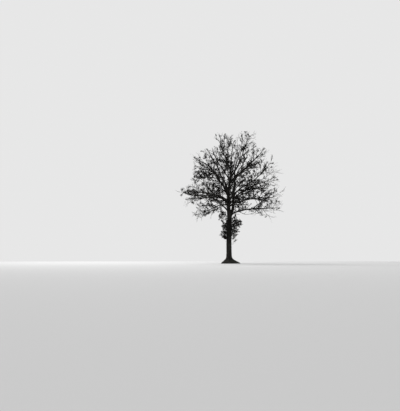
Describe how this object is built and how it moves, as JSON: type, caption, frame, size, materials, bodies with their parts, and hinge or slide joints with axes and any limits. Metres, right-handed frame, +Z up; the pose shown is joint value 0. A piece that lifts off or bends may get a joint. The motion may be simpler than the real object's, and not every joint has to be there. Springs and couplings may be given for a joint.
{
  "type": "bare winter tree",
  "caption": "Leafless broadleaved tree in winter: flared trunk, limbs that fan out into a domed crown of fine twigs, and tufts of shoots round the middle of the trunk.",
  "frame": {"origin": "middle of the flat cut under the trunk, at ground level (mount ground)", "axes": "+Z up along the trunk, +X to the right in the pictured view, +Y away from the viewer"},
  "size_m": [11.9426, 10.2049, 14.4022],
  "materials": {
    "trunk_bark": "rough furrowed bark, near black in winter light",
    "bough_bark": "rough bark with shallower furrows, near black",
    "twig_bark": "matt thin bark of bare twigs, near black"
  },
  "bodies": {
    "root": {"trunk": "trunk_bark", "bough_lowest_right": "bough_bark", "bough_low_right": "bough_bark", "bough_middle_right": "bough_bark", "bough_steep_right": "bough_bark", "bough_high_right": "bough_bark", "bough_upper_right": "bough_bark", "bough_top_right": "bough_bark", "bough_top_left": "bough_bark", "bough_top_middle": "bough_bark", "bough_upper_left": "bough_bark", "bough_high_left": "bough_bark", "bough_middle_left": "bough_bark", "bough_forked_left": "bough_bark", "bough_long_left": "bough_bark", "bough_low_left": "bough_bark", "bough_lowest_left": "bough_bark", "bough_front_1": "bough_bark", "bough_back_1": "bough_bark", "bough_front_2": "bough_bark", "bough_back_2": "bough_bark", "bough_front_3": "bough_bark", "bough_back_3": "bough_bark", "bough_front_4": "bough_bark", "bough_back_4": "bough_bark", "bough_front_5": "bough_bark", "bough_back_5": "bough_bark", "twigs_lowest_right": "twig_bark", "twigs_low_right": "twig_bark", "twigs_middle_right": "twig_bark", "twigs_steep_right": "twig_bark", "twigs_high_right": "twig_bark", "twigs_upper_right": "twig_bark", "twigs_top_right": "twig_bark", "twigs_top_left": "twig_bark", "twigs_top_middle": "twig_bark", "twigs_upper_left": "twig_bark", "twigs_high_left": "twig_bark", "twigs_middle_left": "twig_bark", "twigs_forked_left": "twig_bark", "twigs_long_left": "twig_bark", "twigs_low_left": "twig_bark", "twigs_lowest_left": "twig_bark", "twigs_front_1": "twig_bark", "twigs_back_1": "twig_bark", "twigs_front_2": "twig_bark", "twigs_back_2": "twig_bark", "twigs_front_3": "twig_bark", "twigs_back_3": "twig_bark", "twigs_front_4": "twig_bark", "twigs_back_4": "twig_bark", "twigs_front_5": "twig_bark", "twigs_back_5": "twig_bark", "tuft_1": "twig_bark", "tuft_2": "twig_bark", "tuft_3": "twig_bark", "tuft_4": "twig_bark", "tuft_5": "twig_bark", "tuft_6": "twig_bark"}
  },
  "joints": []
}
